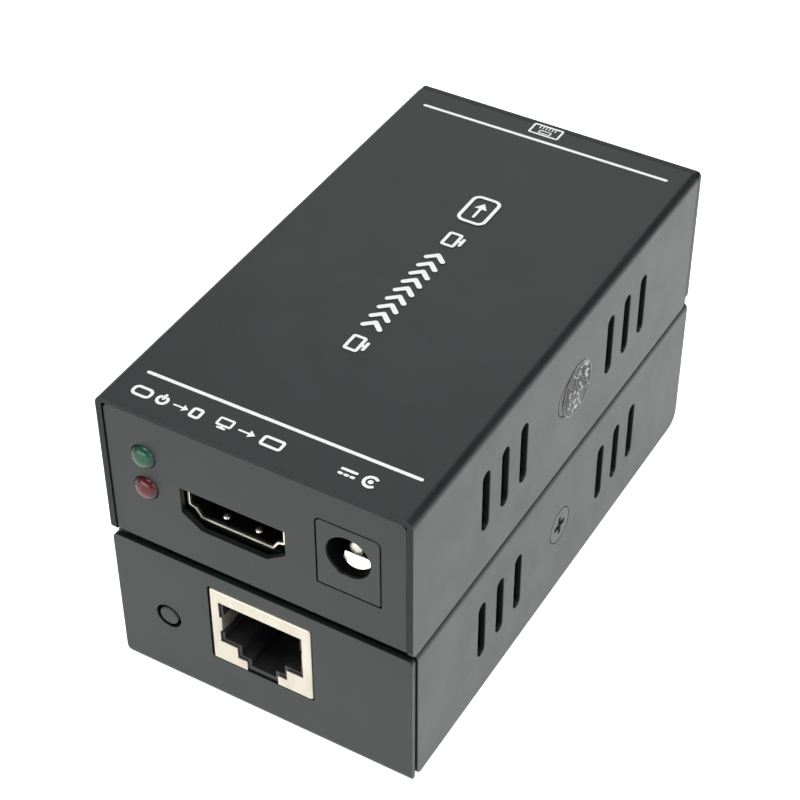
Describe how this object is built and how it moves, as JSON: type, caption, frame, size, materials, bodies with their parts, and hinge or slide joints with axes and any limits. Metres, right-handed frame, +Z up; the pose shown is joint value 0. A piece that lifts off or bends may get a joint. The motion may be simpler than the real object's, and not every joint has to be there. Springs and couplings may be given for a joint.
{
  "type": "hdmi extender",
  "caption": "Pair of small folded-steel signal extender boxes, receiver stacked on sender, with video, network and power sockets, status lamps and a push button.",
  "frame": {"origin": "middle of the underside of the stacked pair, on the surface it rests on", "axes": "+X to the right as the receiver's video end is faced, +Y from that end to the back along the length, +Z up"},
  "size_m": [0.0469, 0.0852, 0.0486],
  "materials": {
    "case_paint": "matte charcoal powder coat with a fine texture",
    "base_paint": "matte charcoal powder coat with a fine texture",
    "black_steel": "black zinc plating",
    "spacer_metal": "turned brass",
    "board": "green solder mask",
    "zinc_steel": "bright zinc plating",
    "nickel_shell": "nickel plating",
    "black_nylon": "moulded black nylon",
    "gold_contact": "flash gold plating",
    "socket_plastic": "moulded dark grey plastic",
    "bright_nickel": "polished nickel plating",
    "nickel_shield": "satin nickel plating",
    "green_lens": "tinted clear epoxy",
    "red_lens": "tinted clear epoxy",
    "chip_resin": "moulded epoxy resin",
    "crystal_can": "drawn steel can",
    "capacitor_can": "bare aluminium can",
    "ferrite": "ground ferrite",
    "clear_film": "clear plastic film",
    "button_plastic": "moulded dark grey plastic"
  },
  "bodies": {
    "sender_unit": {"sender_cover": "case_paint", "sender_base": "base_paint", "sender_side_screws": "black_steel", "sender_spacers": "spacer_metal", "sender_board": "board", "sender_board_screws": "zinc_steel", "sender_video_shell": "nickel_shell", "sender_video_insert": "black_nylon", "sender_video_contacts": "gold_contact", "sender_power_socket": "socket_plastic", "sender_power_pin": "bright_nickel", "sender_power_spring": "bright_nickel", "sender_network_shield": "nickel_shield", "sender_network_housing": "black_nylon", "sender_network_contacts": "gold_contact", "sender_green_lamp": "green_lens", "sender_red_lamp": "red_lens", "sender_lamp_holder": "black_nylon", "sender_main_chip": "chip_resin", "sender_line_chip": "chip_resin", "sender_regulator": "chip_resin", "sender_crystal": "crystal_can", "sender_capacitors": "capacitor_can", "sender_inductor": "ferrite", "sender_switch": "black_nylon"},
    "receiver_unit": {"receiver_cover": "case_paint", "receiver_base": "base_paint", "receiver_side_screws": "black_steel", "receiver_spacers": "spacer_metal", "receiver_board": "board", "receiver_board_screws": "zinc_steel", "receiver_video_shell": "nickel_shell", "receiver_video_insert": "black_nylon", "receiver_video_contacts": "gold_contact", "receiver_power_socket": "socket_plastic", "receiver_power_pin": "bright_nickel", "receiver_power_spring": "bright_nickel", "receiver_network_shield": "nickel_shield", "receiver_network_housing": "black_nylon", "receiver_network_contacts": "gold_contact", "receiver_green_lamp": "green_lens", "receiver_red_lamp": "red_lens", "receiver_lamp_holder": "black_nylon", "receiver_main_chip": "chip_resin", "receiver_line_chip": "chip_resin", "receiver_regulator": "chip_resin", "receiver_crystal": "crystal_can", "receiver_capacitors": "capacitor_can", "receiver_inductor": "ferrite", "receiver_screw_seal": "clear_film"},
    "push_button": {"sender_button": "button_plastic"}
  },
  "joints": [
    {"name": "receiver_lift", "type": "slide", "parent": "sender_unit", "child": "receiver_unit", "axis": [0, 0, 1], "range_m": [0, 0.05]},
    {"name": "button_press", "type": "slide", "parent": "sender_unit", "child": "push_button", "axis": [0, 1, 0], "range_m": [0, 0.00025], "stiffness_N_per_m": 4000}
  ]
}
